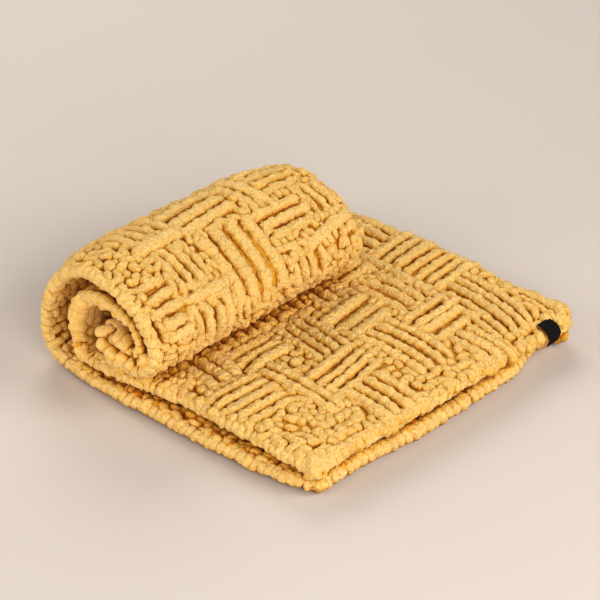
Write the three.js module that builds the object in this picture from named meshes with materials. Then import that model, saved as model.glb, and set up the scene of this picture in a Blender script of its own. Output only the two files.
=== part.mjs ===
// A chunky basketweave blanket, folded once end to end and then turned over along one side into a loose roll.
// Millimetres, +Z up. +X runs from the roll to the open selvedge, and +Y from the cloth's ends to the fold.
import * as THREE from 'three';

// Driving dimensions
const HALF_LENGTH = 400; // from the upper layer's end to the outside of the fold
const LAYER = 21; // thickness of the knitting over its bars
const LAYER_GAP = 3; // air between the two layers
const EDGE_ROUND = 8; // rounding of the cloth's edges
const CROWN = 4; // how far a woven block stands above the lines around it
const BLOCKS_ACROSS = 11; // woven blocks from selvedge to selvedge
const BLOCKS_ALONG = 6; // woven blocks in each layer, from its end to the fold
const STEPS_ACROSS = 4; // facets across a block
const STEPS_ALONG = 3; // facets along a block
const PLAIN_BORDER = 24; // band along each selvedge with no crowned blocks
const FOLD_STEPS = 6;
const LABEL = { width: 17, thickness: 0.8, clearance: 0.35, legAbove: 19, legBelow: 13, fromFold: 43 };

// The lower layer's section, followed from the open selvedge to the tucked end: a row for each stretch.
// near and far are its lengths at the cloth's ends and at the fold, turn is how far it bends in degrees,
// and pinch is what is left there of the upper layer's thickness, which the bend squeezes.
const SECTION = [
  { stretch: 'flat', near: 340, far: 340, turn: 0, pinch: 1 },
  { stretch: 'rise', near: 55, far: 55, turn: 90, pinch: 0.75 },
  { stretch: 'side', near: 85, far: 78, turn: 50, pinch: 1 },
  { stretch: 'crown', near: 55, far: 55, turn: 40, pinch: 1 },
  { stretch: 'shoulder', near: 77, far: 77, turn: 35, pinch: 0.9 },
  { stretch: 'drop', near: 31, far: 27, turn: 55, pinch: 0.55 },
  { stretch: 'under', near: 50, far: 47, turn: 90, pinch: 0.55 },
  { stretch: 'tuck', near: 40, far: 40, turn: 0, pinch: 0.7 },
];
const CLOTH_WIDTH = SECTION.reduce((sum, row) => sum + row.near, 0);

// The hollow between the shell and the inner loop: the upper layer stands in from the shell's side and sags from it.
const HOLLOW = { depth: 30, start: 270, peak: 375, end: 510, sag: 9, sagStart: 400, sagPeak: 470, sagEnd: 590 };

// The roll's outside swells away from the cloth's drawn-in end and from the fold, over this stretch across the cloth.
const SWELL = { height: 4.5, start: 340, full: 395, ease: 535, end: 612, reach: 70 };

// Where each layer's end and the outside of the fold lie along Y: a row for each place across the cloth.
const END_LINE = [
  { across: 0, lower: 9, upper: 3, fold: 400 },
  { across: 45, lower: -4, upper: 2, fold: 404 },
  { across: 90, lower: -11, upper: 1, fold: 403 },
  { across: 170, lower: -16, upper: -1, fold: 405 },
  { across: 285, lower: -20, upper: -16, fold: 404 },
  { across: 345, lower: -18, upper: -17, fold: 396 },
  { across: 470, lower: -16, upper: -17, fold: 304 },
  { across: CLOTH_WIDTH, lower: -27, upper: -22, fold: 298 },
];

// How far the open selvedge stands out along X: a row for each place along the blanket.
const SELVEDGE_LINE = [
  { along: 0, lower: 1, upper: 0 },
  { along: 60, lower: 0, upper: 0 },
  { along: 180, lower: 9, upper: 5 },
  { along: 290, lower: 7, upper: 5 },
  { along: 340, lower: -3, upper: 5 },
  { along: 376, lower: 5, upper: 5 },
];
const SELVEDGE_REACH = 70; // how far in from the selvedge its line is felt

const HALF_LAYER = LAYER / 2;
const FOLD_RADIUS = (LAYER + LAYER_GAP) / 2;
const FOLD_DEPTH = FOLD_RADIUS + HALF_LAYER; // from the start of the fold's bend to its outside
const FOLD_LINE = HALF_LENGTH - FOLD_DEPTH;
const FOLD_LENGTH = Math.PI * FOLD_RADIUS;
const CLOTH_LENGTH = 2 * FOLD_LINE + FOLD_LENGTH;

function smooth(from, to, value) {
  const t = Math.min(1, Math.max(0, (value - from) / (to - from)));
  return t * t * (3 - 2 * t);
}

// Reads one column of a table at a place between its rows, easing from row to row.
function readTable(table, placeColumn, valueColumn, place) {
  let value = table[0][valueColumn];
  for (let i = 1; i < table.length; i += 1) {
    const ease = smooth(table[i - 1][placeColumn], table[i][placeColumn], place);
    value += ease * (table[i][valueColumn] - table[i - 1][valueColumn]);
  }
  return value;
}

// A point on the lower layer's middle and its heading, at a distance across the cloth.
function lowerSection(across, along) {
  const far = smooth(0, HALF_LENGTH, along);
  let heading = Math.PI;
  let left = across;
  const point = new THREE.Vector2(0, HALF_LAYER);
  SECTION.forEach((row, index) => {
    const last = index === SECTION.length - 1;
    const taken = index === 0 ? Math.min(left, row.near) : Math.max(0, last ? left : Math.min(left, row.near));
    left -= taken;
    const share = taken / row.near;
    const length = share * THREE.MathUtils.lerp(row.near, row.far, far);
    const turn = THREE.MathUtils.degToRad(row.turn) * share;
    if (turn === 0) {
      point.x += length * Math.cos(heading);
      point.y += length * Math.sin(heading);
      return;
    }
    const radius = length / turn;
    point.x += radius * (Math.sin(heading) - Math.sin(heading - turn));
    point.y += radius * (Math.cos(heading - turn) - Math.cos(heading));
    heading -= turn;
  });
  return { point, heading };
}

// The middles of the rows of SECTION, as places across the cloth for their pinch.
const PINCH_LINE = [];
SECTION.reduce((start, row) => {
  PINCH_LINE.push({ across: start + row.near / 2, pinch: row.pinch });
  return start + row.near;
}, 0);

function upperHalfThickness(across) {
  return HALF_LAYER * readTable(PINCH_LINE, 'across', 'pinch', across);
}

// The middle of a layer, as x and z, with the selvedge's line and the hollow in the roll.
function layerMiddle(layer, across, along) {
  const { point, heading } = lowerSection(across, along);
  const selvedge = 1 - smooth(0, SELVEDGE_REACH, across);
  point.x += selvedge * readTable(SELVEDGE_LINE, 'along', layer, along);
  if (layer === 'lower') {
    return point;
  }
  const inward = HALF_LAYER + LAYER_GAP + upperHalfThickness(across);
  point.x += inward * Math.sin(heading);
  point.y -= inward * Math.cos(heading);
  const risen = smooth(HOLLOW.start, HOLLOW.peak, across);
  const closed = smooth(HOLLOW.peak, HOLLOW.end, across);
  const open = 1 - smooth(0, HALF_LENGTH * 0.8, along);
  point.x += HOLLOW.depth * open * risen * (1 - closed);
  const sunk = smooth(HOLLOW.sagStart, HOLLOW.sagPeak, across);
  const borne = smooth(HOLLOW.sagPeak, HOLLOW.sagEnd, across);
  point.y -= HOLLOW.sag * open * sunk * (1 - borne);
  return point;
}

// The direction from a layer's middle to the inner side of the roll.
function inwardOf(layer, across, along) {
  const before = layerMiddle(layer, across - 1, along);
  const after = layerMiddle(layer, across + 1, along);
  const tangent = after.sub(before).normalize();
  return new THREE.Vector2(tangent.y, -tangent.x);
}

// Places a point of the cloth: across it, along it from the lower layer's end, and out from its middle.
// share is that height as a part of the half thickness, positive on the outer side.
function place(across, clothAlong, share) {
  const beforeFold = clothAlong < FOLD_LINE;
  const afterFold = clothAlong > FOLD_LINE + FOLD_LENGTH;
  const bend = readTable(END_LINE, 'across', 'fold', across) - FOLD_DEPTH;
  if (beforeFold || afterFold) {
    const layer = beforeFold ? 'lower' : 'upper';
    const fromEnd = beforeFold ? clothAlong : CLOTH_LENGTH - clothAlong;
    const end = readTable(END_LINE, 'across', layer, across);
    const along = end + (fromEnd * (bend - end)) / FOLD_LINE;
    const half = beforeFold ? -HALF_LAYER : upperHalfThickness(across);
    const point = layerMiddle(layer, across, along).addScaledVector(inwardOf(layer, across, along), share * half);
    return new THREE.Vector3(point.x, along, point.y);
  }
  const lower = layerMiddle('lower', across, bend);
  const upper = layerMiddle('upper', across, bend);
  const middle = lower.clone().add(upper).multiplyScalar(0.5);
  const rise = upper.clone().sub(middle);
  const angle = ((clothAlong - FOLD_LINE) / FOLD_LENGTH) * Math.PI;
  const half = THREE.MathUtils.lerp(HALF_LAYER, upperHalfThickness(across), angle / Math.PI);
  const radius = rise.length() + share * half;
  const point = middle.addScaledVector(rise.normalize(), -radius * Math.cos(angle));
  return new THREE.Vector3(point.x, bend + radius * Math.sin(angle), point.y);
}

// How high the outer face stands at a place, as a share of the half thickness: crowned blocks with lines between
// them, pressed flat where the cloth lies on the floor and swollen on the roll.
function outerShare(across, clothAlong) {
  const blockAcross = (across / CLOTH_WIDTH) * BLOCKS_ACROSS;
  const blockAlong = (clothAlong / CLOTH_LENGTH) * 2 * BLOCKS_ALONG;
  const acrossCrown = 1 - (2 * (blockAcross % 1) - 1) ** 4;
  const alongCrown = 1 - (2 * (blockAlong % 1) - 1) ** 4;
  const onFloor = across < SECTION[0].near && clothAlong < FOLD_LINE;
  const onBorder = across < PLAIN_BORDER || across > CLOTH_WIDTH - PLAIN_BORDER;
  const sunk = onFloor || onBorder ? 0 : CROWN * (1 - acrossCrown * alongCrown);
  const onRoll = smooth(SWELL.start, SWELL.full, across) * (1 - smooth(SWELL.ease, SWELL.end, across));
  const fromEdge = smooth(0, SWELL.reach, Math.min(clothAlong, FOLD_LINE - clothAlong));
  return 1 + (SWELL.height * onRoll * fromEdge - sunk) / HALF_LAYER;
}

// Stations across and along the cloth, with their first and last drawn in from the edge by inset.
function stations(inset) {
  const across = [];
  const acrossSteps = BLOCKS_ACROSS * STEPS_ACROSS;
  for (let i = 0; i <= acrossSteps; i += 1) {
    across.push((i / acrossSteps) * CLOTH_WIDTH);
  }
  const along = [];
  const layerSteps = BLOCKS_ALONG * STEPS_ALONG;
  for (let j = 0; j < layerSteps; j += 1) {
    along.push((j / layerSteps) * FOLD_LINE);
  }
  for (let j = 0; j < FOLD_STEPS; j += 1) {
    along.push(FOLD_LINE + (j / FOLD_STEPS) * FOLD_LENGTH);
  }
  for (let j = 0; j <= layerSteps; j += 1) {
    along.push(FOLD_LINE + FOLD_LENGTH + (j / layerSteps) * FOLD_LINE);
  }
  across[0] = inset;
  across[across.length - 1] = CLOTH_WIDTH - inset;
  along[0] = inset;
  along[along.length - 1] = CLOTH_LENGTH - inset;
  return { across, along };
}

// The blanket as one closed sheet: an outer face, an inner face and a rounded rim of rings between them.
function blanketGeometry() {
  const corner = EDGE_ROUND * (1 - Math.SQRT1_2);
  const rings = [
    { inset: EDGE_ROUND, share: (i, j, at) => outerShare(at.across[i], at.along[j]) },
    { inset: corner, share: () => 1 - corner / HALF_LAYER },
    { inset: corner, share: () => corner / HALF_LAYER - 1 },
    { inset: EDGE_ROUND, share: () => -1 },
  ];
  const positions = [];
  const indices = [];
  const last = { i: BLOCKS_ACROSS * STEPS_ACROSS, j: 2 * BLOCKS_ALONG * STEPS_ALONG + FOLD_STEPS };
  const vertexOf = rings.map(({ inset, share }, ring) => {
    const at = stations(inset);
    const face = ring === 0 || ring === rings.length - 1;
    const rows = [];
    for (let i = 0; i <= last.i; i += 1) {
      rows.push([]);
      for (let j = 0; j <= last.j; j += 1) {
        const onRim = i === 0 || j === 0 || i === last.i || j === last.j;
        if (face || onRim) {
          rows[i][j] = positions.length / 3;
          positions.push(...place(at.across[i], at.along[j], share(i, j, at)).toArray());
        }
      }
    }
    return rows;
  });
  const quad = (a, b, c, d) => indices.push(a, c, b, a, d, c);
  const outer = vertexOf[0];
  const inner = vertexOf[rings.length - 1];
  for (let i = 0; i < last.i; i += 1) {
    for (let j = 0; j < last.j; j += 1) {
      quad(outer[i][j], outer[i][j + 1], outer[i + 1][j + 1], outer[i + 1][j]);
      quad(inner[i][j], inner[i + 1][j], inner[i + 1][j + 1], inner[i][j + 1]);
    }
  }
  for (let ring = 0; ring + 1 < rings.length; ring += 1) {
    const a = vertexOf[ring];
    const b = vertexOf[ring + 1];
    for (let i = 0; i < last.i; i += 1) {
      quad(a[i][0], a[i + 1][0], b[i + 1][0], b[i][0]);
      quad(a[i + 1][last.j], a[i][last.j], b[i][last.j], b[i + 1][last.j]);
    }
    for (let j = 0; j < last.j; j += 1) {
      quad(a[0][j + 1], a[0][j], b[0][j], b[0][j + 1]);
      quad(a[last.i][j], a[last.i][j + 1], b[last.i][j + 1], b[last.i][j]);
    }
  }
  return finish(positions, indices);
}

function finish(positions, indices) {
  const geometry = new THREE.BufferGeometry();
  geometry.setAttribute('position', new THREE.Float32BufferAttribute(positions, 3));
  geometry.setIndex(indices);
  geometry.computeVertexNormals();
  return geometry;
}

// The label: a strip that lies over the upper layer's selvedge, from a leg above it to a leg below.
function labelGeometry() {
  const corner = EDGE_ROUND * (1 - Math.SQRT1_2);
  const profile = [
    { inset: LABEL.legAbove, height: HALF_LAYER, out: [0, 1] },
    { inset: EDGE_ROUND, height: HALF_LAYER, out: [-0.38, 0.92] },
    { inset: corner, height: HALF_LAYER - corner, out: [-0.92, 0.38] },
    { inset: corner, height: corner - HALF_LAYER, out: [-0.92, -0.38] },
    { inset: EDGE_ROUND, height: -HALF_LAYER, out: [-0.38, -0.92] },
    { inset: LABEL.legBelow, height: -HALF_LAYER, out: [0, -1] },
  ];
  const positions = [];
  const indices = [];
  const start = CLOTH_LENGTH - FOLD_LINE + LABEL.fromFold - LAYER - LABEL.width / 2;
  [start, start + LABEL.width].forEach((clothAlong) => {
    [LABEL.clearance, LABEL.clearance + LABEL.thickness].forEach((off) => {
      profile.forEach(({ inset, height, out }) => {
        const share = (height + out[1] * off) / HALF_LAYER;
        positions.push(...place(inset + out[0] * off, clothAlong, share).toArray());
      });
    });
  });
  const count = profile.length;
  const vertex = (side, skin, k) => (side * 2 + skin) * count + k;
  const quad = (a, b, c, d) => indices.push(a, b, c, a, c, d);
  for (let k = 0; k + 1 < count; k += 1) {
    quad(vertex(0, 1, k), vertex(1, 1, k), vertex(1, 1, k + 1), vertex(0, 1, k + 1));
    quad(vertex(0, 0, k), vertex(0, 0, k + 1), vertex(1, 0, k + 1), vertex(1, 0, k));
    quad(vertex(0, 0, k), vertex(0, 1, k), vertex(0, 1, k + 1), vertex(0, 0, k + 1));
    quad(vertex(1, 0, k), vertex(1, 0, k + 1), vertex(1, 1, k + 1), vertex(1, 1, k));
  }
  quad(vertex(0, 0, 0), vertex(1, 0, 0), vertex(1, 1, 0), vertex(0, 1, 0));
  const end = count - 1;
  quad(vertex(0, 0, end), vertex(0, 1, end), vertex(1, 1, end), vertex(1, 0, end));
  return finish(positions, indices);
}

const yarn = new THREE.MeshStandardMaterial({ color: 0xeec06b, roughness: 0.95, metalness: 0 });
const tape = new THREE.MeshStandardMaterial({ color: 0x141414, roughness: 0.7, metalness: 0 });

const blanket = new THREE.Mesh(blanketGeometry(), yarn);
blanket.name = 'blanket';
const label = new THREE.Mesh(labelGeometry(), tape);
label.name = 'label';

// The origin is under the middle of the whole, on the floor.
const assembly = new THREE.Group();
assembly.name = 'folded_blanket';
assembly.add(blanket, label);
const box = new THREE.Box3().setFromObject(assembly);
const centre = box.getCenter(new THREE.Vector3());
assembly.children.forEach((mesh) => mesh.geometry.translate(-centre.x, -centre.y, -box.min.z));

export default assembly;
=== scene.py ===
"""Dresses the folded and rolled basketweave blanket: yarn bars, stitches, edges, label and a plain stage.

The cloth is knitted flat and then folded: every yarn is laid out in the cloth's own millimetres, as a place
across it from the open selvedge, a place along it and a height above its middle, and fold() carries it to
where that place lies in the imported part.
"""

import math

import bpy
import numpy as np
from bpy.props import FloatProperty, FloatVectorProperty, IntProperty, PointerProperty
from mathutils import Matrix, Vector


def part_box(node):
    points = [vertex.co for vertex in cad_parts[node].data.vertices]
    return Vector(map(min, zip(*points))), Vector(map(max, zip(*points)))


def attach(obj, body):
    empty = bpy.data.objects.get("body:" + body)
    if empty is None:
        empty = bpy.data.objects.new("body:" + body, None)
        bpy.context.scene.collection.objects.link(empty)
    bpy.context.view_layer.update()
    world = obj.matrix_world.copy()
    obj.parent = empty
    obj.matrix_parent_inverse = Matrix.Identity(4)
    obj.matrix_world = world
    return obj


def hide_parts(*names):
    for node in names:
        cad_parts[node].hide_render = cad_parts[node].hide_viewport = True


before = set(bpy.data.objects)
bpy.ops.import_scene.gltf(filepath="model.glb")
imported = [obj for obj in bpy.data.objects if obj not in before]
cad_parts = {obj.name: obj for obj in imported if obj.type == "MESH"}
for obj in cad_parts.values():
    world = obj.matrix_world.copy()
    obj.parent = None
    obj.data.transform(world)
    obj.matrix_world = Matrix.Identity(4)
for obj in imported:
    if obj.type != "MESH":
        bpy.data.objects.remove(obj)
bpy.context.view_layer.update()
BLANKET_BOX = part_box("blanket")

bl_info = {
    "name": "Basketweave blanket",
    "version": (1, 0, 0),
    "blender": (4, 5, 0),
    "location": "View3D > Sidebar > Blanket",
    "description": "Knits a chunky basketweave blanket, folded in half and rolled along one side",
    "category": "Object",
}

MM = 0.001
BODY = "root"

# The folds, in millimetres, as in the part's own source.
HALF_LENGTH = 400.0
LAYER = 21.0
LAYER_GAP = 3.0
HALF_LAYER = LAYER / 2
FOLD_RADIUS = (LAYER + LAYER_GAP) / 2
FOLD_DEPTH = FOLD_RADIUS + HALF_LAYER
FOLD_LINE = HALF_LENGTH - FOLD_DEPTH
FOLD_LENGTH = math.pi * FOLD_RADIUS

# The lower layer's section: length at the cloth's ends, length at the fold, turn in degrees, and the pinch.
SECTION = (
    {"near": 340, "far": 340, "turn": 0, "pinch": 1},
    {"near": 55, "far": 55, "turn": 90, "pinch": 0.75},
    {"near": 85, "far": 78, "turn": 50, "pinch": 1},
    {"near": 55, "far": 55, "turn": 40, "pinch": 1},
    {"near": 77, "far": 77, "turn": 35, "pinch": 0.9},
    {"near": 31, "far": 27, "turn": 55, "pinch": 0.55},
    {"near": 50, "far": 47, "turn": 90, "pinch": 0.55},
    {"near": 40, "far": 40, "turn": 0, "pinch": 0.7},
)
CLOTH_WIDTH = float(sum(row["near"] for row in SECTION))

# The hollow in the roll and the sag beside it, both drawn into the upper layer, and their reach along it.
HOLLOW = {"depth": 30, "start": 270, "full": 375, "ease": 375, "end": 510}
SAG = {"depth": 9, "start": 400, "full": 470, "ease": 470, "end": 590}
HOLLOW_REACH = 0.8 * HALF_LENGTH
# How far the roll's outside stands proud, and how far the upper layer does next to the fold.
SWELL = {"height": 8.0, "start": 340, "full": 395, "ease": 535, "end": 612, "reach": 55}
FOLD_SWELL = {"height": 3.0, "reach": 50}

# Where each layer's end and the outside of the fold lie along Y, at places across the cloth.
END_LINE = {
    "place": (0, 45, 90, 170, 285, 345, 470, CLOTH_WIDTH),
    "lower": (9, -4, -11, -16, -20, -18, -16, -27),
    "upper": (3, 2, 1, -1, -16, -17, -17, -22),
    "fold": (400, 404, 403, 405, 404, 396, 304, 298),
}
# How far the open selvedge stands out, at places along the blanket.
SELVEDGE_LINE = {
    "place": (0, 60, 180, 290, 340, 376),
    "lower": (1, 0, 9, 7, -3, 5),
    "upper": (0, 0, 5, 5, 5, 5),
}
SELVEDGE_REACH = 70.0
# How the cloth beside the open selvedge sinks next to the fold, stands up at the fold's corner and droops at
# its end, as shares of its height.
SETTLE = {
    "reach": 45, "start": 285, "full": 345, "ease": 366, "end": 390, "high": 398,
    "sink": 0.17, "rise": 0.17, "droop": 0.1,
}
# How far the cloth's underside is drawn in beside the label, below a level.
TUCK_IN = {"depth": 11, "level": 34, "start": 325, "full": 358, "ease": 372, "end": 398, "left": 0.3}


def smooth(start, end, value):
    """Eases from 0 at start to 1 at end."""
    t = np.clip((value - start) / (end - start), 0.0, 1.0)
    return t * t * (3.0 - 2.0 * t)


def hump(row, value):
    """Eases from 0 at a row's start to 1 where it is full, and back to 0 from its ease to its end."""
    return smooth(row["start"], row["full"], value) * (1.0 - smooth(row["ease"], row["end"], value))


def read_line(line, column, place):
    """One column of a table of places, easing from row to row."""
    at, values = line["place"], line[column]
    result = values[0] + 0.0 * place
    for k in range(1, len(at)):
        result = result + smooth(at[k - 1], at[k], place) * (values[k] - values[k - 1])
    return result


def pinch_line():
    """The middles of the section's stretches, as places for their pinch."""
    starts = np.cumsum([0] + [row["near"] for row in SECTION[:-1]])
    middles = [start + row["near"] / 2 for start, row in zip(starts, SECTION)]
    return {"place": middles, "pinch": [row["pinch"] for row in SECTION]}


PINCH_LINE = pinch_line()


def half_thickness(layer, across):
    """Half of a layer's thickness: the bends of the roll squeeze the upper one."""
    if layer == "lower":
        return HALF_LAYER + 0.0 * across
    return HALF_LAYER * read_line(PINCH_LINE, "pinch", across)


def lower_section(across, along):
    """Middle of the lower layer as x and z, and its heading, in the plane across the blanket."""
    far = smooth(0.0, HALF_LENGTH, along)
    left = across + 0.0 * along
    x = 0.0 * left
    z = HALF_LAYER + 0.0 * left
    heading = math.pi + 0.0 * left
    for k, row in enumerate(SECTION):
        taken = left if k == len(SECTION) - 1 else np.minimum(left, row["near"])
        if k > 0:
            taken = np.maximum(0.0, taken)
        left = left - taken
        share = taken / row["near"]
        length = row["near"] + (row["far"] - row["near"]) * far
        if row["turn"] == 0:
            x = x + share * length * np.cos(heading)
            z = z + share * length * np.sin(heading)
            continue
        turn = math.radians(row["turn"])
        radius = length / turn
        after = heading - turn * share
        x = x + radius * (np.sin(heading) - np.sin(after))
        z = z + radius * (np.cos(after) - np.cos(heading))
        heading = after
    return x, z, heading


def layer_middle(layer, across, along):
    """Middle of a layer as x and z, with the selvedge's line and the hollow in the roll."""
    x, z, heading = lower_section(across, along)
    x = x + (1.0 - smooth(0.0, SELVEDGE_REACH, across)) * read_line(SELVEDGE_LINE, layer, along)
    if layer == "lower":
        return x, z
    inward = HALF_LAYER + LAYER_GAP + half_thickness(layer, across)
    x = x + inward * np.sin(heading)
    z = z - inward * np.cos(heading)
    near = 1.0 - smooth(0.0, HOLLOW_REACH, along)
    return x + HOLLOW["depth"] * near * hump(HOLLOW, across), z - SAG["depth"] * near * hump(SAG, across)


def outward(layer, across, along):
    """Direction from a layer's middle to its outer side: down for the lower layer, up for the upper one."""
    x0, z0 = layer_middle(layer, across - 1.0, along)
    x1, z1 = layer_middle(layer, across + 1.0, along)
    sign = 1.0 if layer == "upper" else -1.0
    size = np.hypot(x1 - x0, z1 - z0) * sign
    return (z1 - z0) / size, (x0 - x1) / size


def bend_start(across):
    """Where the fold's bend starts along Y."""
    return read_line(END_LINE, "fold", across) - FOLD_DEPTH


def fold(layer, across, along, height):
    """Carries places on the flat cloth to where they lie: heights are towards a layer's outer side."""
    bend = bend_start(across)
    over = np.maximum(along - bend, 0.0)
    flat_along = np.minimum(along, bend)
    height = height * half_thickness(layer, across) / HALF_LAYER
    x, z = layer_middle(layer, across, flat_along)
    out_x, out_z = outward(layer, across, flat_along)
    flat = np.stack([x + out_x * height, flat_along, z + out_z * height], axis=-1)
    other_x, other_z = layer_middle("upper" if layer == "lower" else "lower", across, bend)
    own_x, own_z = layer_middle(layer, across, bend)
    rise_x, rise_z = (own_x - other_x) / 2, (own_z - other_z) / 2
    rise = np.hypot(rise_x, rise_z)
    radius = rise + height
    angle = over / FOLD_RADIUS
    lift = radius * np.cos(angle) / rise
    bent = np.stack(
        [
            (own_x + other_x) / 2 + rise_x * lift,
            bend + radius * np.sin(angle),
            (own_z + other_z) / 2 + rise_z * lift,
        ],
        axis=-1,
    )
    return settle(np.where((over > 0.0)[..., None], bent, flat))


def settle(points):
    """Lets the cloth sink and tuck in under the label and stand up at the fold's corner."""
    x, y, z = points[..., 0], points[..., 1], points[..., 2]
    beside = smooth(-SETTLE["reach"], 0.0, x)
    sunk = hump(SETTLE, y)
    stood = smooth(SETTLE["ease"], SETTLE["high"], y)
    droop = SETTLE["droop"] * (1.0 - smooth(0.0, SETTLE["reach"], y))
    change = beside * (SETTLE["rise"] * stood - SETTLE["sink"] * sunk - droop)
    low = 1.0 - np.clip(z / TUCK_IN["level"], 0.0, 1.0)
    under = beside * low * smooth(TUCK_IN["start"], TUCK_IN["full"], y)
    under = under * (1.0 - (1.0 - TUCK_IN["left"]) * smooth(TUCK_IN["ease"], TUCK_IN["end"], y))
    return np.stack([x - TUCK_IN["depth"] * under, y, z * (1.0 + change)], axis=-1)


def seat():
    """Shift from the cloth's own corner to the part's frame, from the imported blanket's box."""
    across = np.linspace(0.0, CLOTH_WIDTH, 200)[:, None]
    along = np.linspace(0.0, FOLD_LINE, 100)[None, :]
    roll = fold("lower", across + 0.0 * along, along + 0.0 * across, HALF_LAYER + swell(across, along))
    far = read_line(END_LINE, "fold", across).max()
    low, high = BLANKET_BOX
    return np.array([low.x / MM - roll[..., 0].min(), high.y / MM - far, 0.0])


def swell(across, along):
    """How far the roll's outside swells beyond the cloth's drawn-in end."""
    on_roll = hump(SWELL, across)
    from_end = along - read_line(END_LINE, "lower", across)
    from_edge = np.minimum(from_end, bend_start(across) - along)
    return SWELL["height"] * on_roll * smooth(0.0, SWELL["reach"], from_edge)


SEAT = seat()


# Charts. A block is a group of bars that lie side by side. run says which way its bars go: along the
# blanket or round it, from selvedge to roll. lean is how far a bar's far end is shifted sideways and bow how
# far its middle is.
TOP_CHART = (
    # run, across from and to, along from and to, bars, lean, bow
    ("along", 92, 166, 14, 80, 5, -4, 0),
    ("round", 166, 232, 30, 80, 3, 4, 3),
    ("round", 54, 160, 82, 109, 2, 2, 3),
    ("along", 158, 206, 82, 143, 3, 0, 1),
    ("along", 70, 122, 109, 188, 4, 14, -2),
    ("round", 126, 206, 144, 196, 4, 9, 2),
    ("round", 6, 74, 112, 172, 4, 5, 3),
    ("round", 36, 134, 197, 257, 4, 3, 6),
    ("along", 126, 184, 192, 264, 3, 10, 0),
    ("round", 190, 240, 218, 262, 3, 7, 0),
    ("round", 206, 246, 84, 214, 9, 3, 0),
    ("along", 62, 124, 258, 326, 4, 4, 0),
    ("along", 206, 240, 262, 316, 2, 3, 0),
    ("round", 126, 202, 266, 314, 3, 2, 3),
    ("round", 122, 242, 315, 330, 1, 4, 1),
    ("round", 2, 60, 258, 302, 3, 3, 0),
    ("round", 24, 128, 306, 372, 5, 17, 5),
    ("along", 126, 234, 331, 402, 7, 3, 0),
    ("round", 238, 300, 328, 392, 4, 0, 0),
    ("round", 11, 62, 372, 404, 4, 2, 2),
)
ROLL_CHART = (
    ("round", 553, 642, 93, 177, 4, -3, 0),
    ("along", 502, 553, 92, 176, 3, -9, 0),
    ("round", 490, 562, 178, 214, 2, 6, 0),
    ("along", 498, 551, 214, 280, 4, -8, 0),
    ("along", 560, 602, 178, 243, 3, 0, 0),
    ("round", 552, 598, 246, 284, 3, 2, 3),
    ("along", 604, 620, 214, 284, 1, -14, 0),
    ("round", 553, 604, 40, 90, 4, 2, 2),
    ("along", 605, 620, 44, 94, 1, 0, 0),
    ("round", 621, 658, 36, 94, 4, -2, 0),
    ("along", 535, 552, 33, 96, 1, 0, 0),
    ("round", 486, 534, 36, 96, 4, 0, 0),
    ("along", 574, 642, 2, 36, 5, 0, 0),
    ("round", 622, 658, 178, 232, 4, 0, 0),
)
BLOCK = 64.0
BARS_IN_BLOCK = 5
# How far from the cloth's end the even basketweave starts.
BLOCK_START = 13.0

# How finely a yarn is made: the step along it, the sides round it and how strongly its grain shows.
FINE = {"step": 1.9, "sides": 18, "grain": 1.0}
EVEN = {"step": 2.3, "sides": 14, "grain": 1.0}
RIM = {"step": 2.3, "sides": 14, "grain": 0.75}
SOFT = {"step": 2.3, "sides": 14, "grain": 0.4}
COARSE = {"step": 6.0, "sides": 8, "grain": 0.3}
# The share of a yarn's sides over the part that shows, and how far that part laps round, in half turns.
SHOWN_SIDES = 0.72
SHOWN_LAP = 0.15
# How far a yarn's tip stands out past its last ring, as a share of its half height.
TIP_REACH = 0.35
# A bar's rounded cap, as shares of its half width and its length, with its rings and the angle of the first;
# how far from its end it dives, in half widths; how much painted shade each millimetre of that adds to its
# colour; how far its bow is set back; and the spread of its width.
BAR = {
    "cap": 0.9, "cap_share": 0.45, "cap_rings": 5, "cap_angle": 0.25, "dive_reach": 1.9, "shade_deepen": 0.07,
    "bow_back": 0.66, "spread": 0.05,
}
# Waves of a yarn's plumpness: share of its thickness, millimetres for each radian, and shift with its tint.
PLUMP = ((0.06, 1.8, 40.0), (0.05, 3.7, 90.0))
# The finer tufts of the pile, as shares of the height and size of the main ones.
FINE_TUFTS = {"height": 0.45, "size": 0.5}
# Large numbers that scatter the values of the noise.
CORNER_MIX = np.array([73856093, 19349663, 83492791])
SEED_MIX = 2654435
VALUE_MIX = 1274126177
# Seeds of the noise in the main tufts, the finer tufts and the yarn's lumps, and in the ground's lumps.
YARN_SEEDS = (3, 5, 7)
GROUND_SEEDS = (9, 10, 11)
# How far above the floor yarn and ground stay.
YARN_CLEAR = 0.05
GROUND_CLEAR = 0.2

# Loops of yarn round the cloth's edges: their spacing, thickness, height, the depth of their turn, the reach
# of their legs past it, their slant, and how much wider than thick their yarn is.
SELVEDGE_LOOP = {
    "pitch": 10.0, "thickness": 11.5, "height": 19.0, "turn": 5.0, "leg": 3.0, "slant": 3.5,
    "crowding": 1.25,
}
END_LOOP = {
    "pitch": 8.5, "thickness": 9.5, "height": 15.0, "turn": 4.0, "leg": 2.5, "slant": 2.5,
    "crowding": 1.35,
}
CORNER_LOOP = {**SELVEDGE_LOOP, "thickness": 14.0, "height": 24.0}
# How every loop is made: the rings round its turn and along a leg, where a leg starts past the turn, the
# spreads of its thickness, of how far in it stands and of its place, and the power and least share of its
# taper.
LOOP_FORM = {
    "turn_rings": 11, "leg_rings": 3, "leg_start": 2.0, "spread": 0.12, "inset": 1.0, "wander": 0.8,
    "taper": 6, "tip": 0.02,
}
# The first loop's distance from the corner, and how far before the tucked selvedge the end's loops stop.
LOOP_START = 8.0
LOOP_STOP = 4.0
# The upper layer's loops hang below its middle, over the lower layer's edge.
LOOP_HANG = 2.5
# Where the folds squeeze the cloth, its end's loops crowd no closer than this share of their room.
LOOP_ROOM = 0.6
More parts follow.
